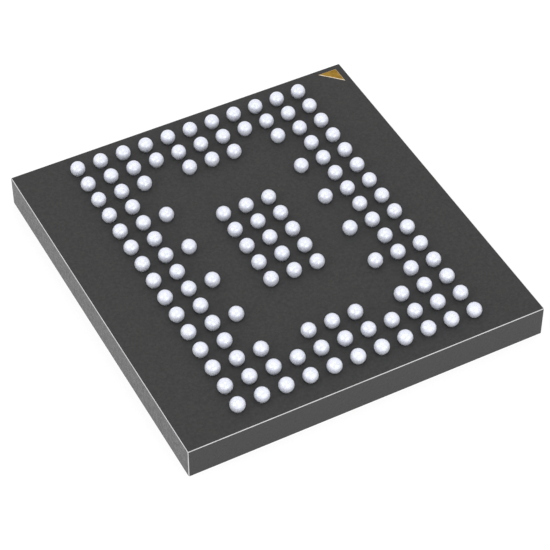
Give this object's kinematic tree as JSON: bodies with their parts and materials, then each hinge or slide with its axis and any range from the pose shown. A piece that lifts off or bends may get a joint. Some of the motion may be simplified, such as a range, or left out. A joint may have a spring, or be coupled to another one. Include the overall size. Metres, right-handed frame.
{
  "type": "ball grid array chip",
  "caption": "Thin flat semiconductor package with rows of solder balls on one face for surface mounting, a moulded cap on the other and a gold corner mark.",
  "frame": {"origin": "middle of the mark face, the flat moulded face away from the balls", "axes": "+Z points from the mark face to the balls; +X runs from ball column 11 to column 1; +Y runs from ball row R to row A, so ball A1 and the gold corner mark are at +X and +Y"},
  "size_m": [0.0074, 0.008, 0.001],
  "materials": {
    "mould_compound": "black epoxy moulding compound, fine matt grain",
    "solder_mask": "black solder mask, semi-gloss",
    "laminate": "black glass and resin laminate, sawn edge",
    "solder": "bright tin, silver and copper solder, smooth",
    "copper": "plated copper",
    "gold_plate": "soft gold plating",
    "gold_wire": "drawn gold wire",
    "silicon": "polished silicon",
    "die_film": "cured glue film"
  },
  "bodies": {
    "root": {"mould_cap": "mould_compound", "silicon_die": "silicon", "die_attach_film": "die_film", "die_side_mask": "solder_mask", "laminate_core": "laminate", "ball_side_mask": "solder_mask", "ball_lands": "copper", "via_plugs": "copper", "ground_plane": "copper", "pin_one_marker": "gold_plate", "row_a_side_traces": "copper", "row_r_side_traces": "copper", "column_1_side_traces": "copper", "column_11_side_traces": "copper", "row_a_side_bond_wires": "gold_wire", "row_r_side_bond_wires": "gold_wire", "column_1_side_bond_wires": "gold_wire", "column_11_side_bond_wires": "gold_wire", "ball_row_a": "solder", "ball_row_b": "solder", "ball_row_c": "solder", "ball_row_d": "solder", "ball_row_e": "solder", "ball_row_f": "solder", "ball_row_g": "solder", "ball_row_h": "solder", "ball_row_j": "solder", "ball_row_k": "solder", "ball_row_l": "solder", "ball_row_m": "solder", "ball_row_n": "solder", "ball_row_p": "solder", "ball_row_r": "solder"}
  },
  "joints": []
}
